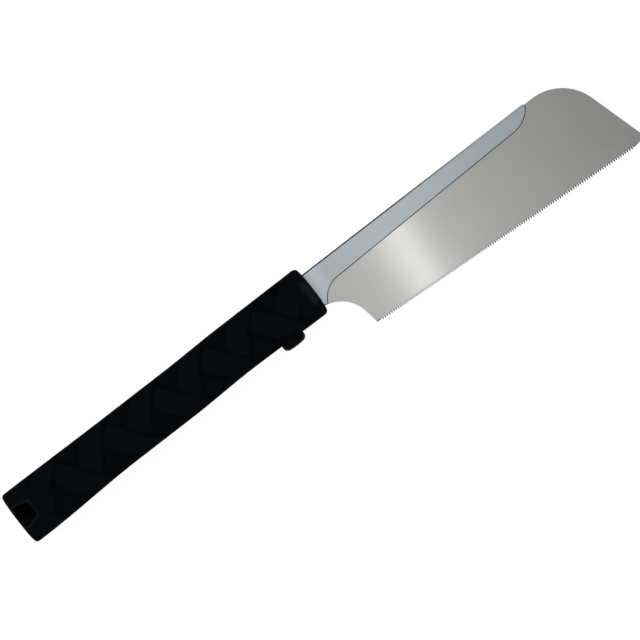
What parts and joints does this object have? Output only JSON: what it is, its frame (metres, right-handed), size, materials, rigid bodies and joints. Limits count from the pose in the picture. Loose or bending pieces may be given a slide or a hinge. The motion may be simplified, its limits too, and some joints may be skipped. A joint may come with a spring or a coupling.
{
  "type": "flush cut saw",
  "caption": "Pull saw for flush cuts: a thin toothed blade held in a folded steel back, pushed into a cross-wrapped rubber grip and clamped there by a fluted knob.",
  "frame": {"origin": "on the surface that the saw lies on, under the middle of its outline", "axes": "+X along the grip's axis towards the blade's tip, +Y in the blade's plane towards the back, +Z square to the blade, up"},
  "size_m": [0.4036, 0.0626, 0.026],
  "materials": {
    "blade_steel": "satin ground steel",
    "back_plate": "fine satin plating",
    "grip_rubber": "matte moulded rubber",
    "core_plastic": "matte moulded plastic",
    "zinc_steel": "zinc plated",
    "shoe_brass": "plain brass",
    "knob_plastic": "satin moulded plastic"
  },
  "bodies": {
    "handle": {"grip_sleeve": "grip_rubber", "core_right": "core_plastic", "core_left": "core_plastic", "tang_socket": "zinc_steel", "socket_pin": "zinc_steel", "clamp_nut": "zinc_steel"},
    "blade": {"saw_blade": "blade_steel", "blade_back": "back_plate"},
    "shoe": {"clamp_shoe": "shoe_brass"},
    "knob": {"clamp_stud": "zinc_steel", "clamp_knob": "knob_plastic"}
  },
  "joints": [
    {"name": "blade_draw", "type": "slide", "parent": "handle", "child": "blade", "axis": [1, 0, 0], "range_m": [0, 0.048]},
    {"name": "shoe_travel", "type": "slide", "parent": "handle", "child": "shoe", "axis": [0, -1, 0], "range_m": [0, 0.0016]},
    {"name": "knob_turn", "type": "hinge", "parent": "shoe", "child": "knob", "pos_m": [-0.02063, 0.01594, 0.013], "axis": [0, -1, 0], "range_deg": [0, 720]}
  ],
  "couplings": [
    {"joint": "knob_turn", "follows": "shoe_travel", "rad_per_m": 7854}
  ]
}
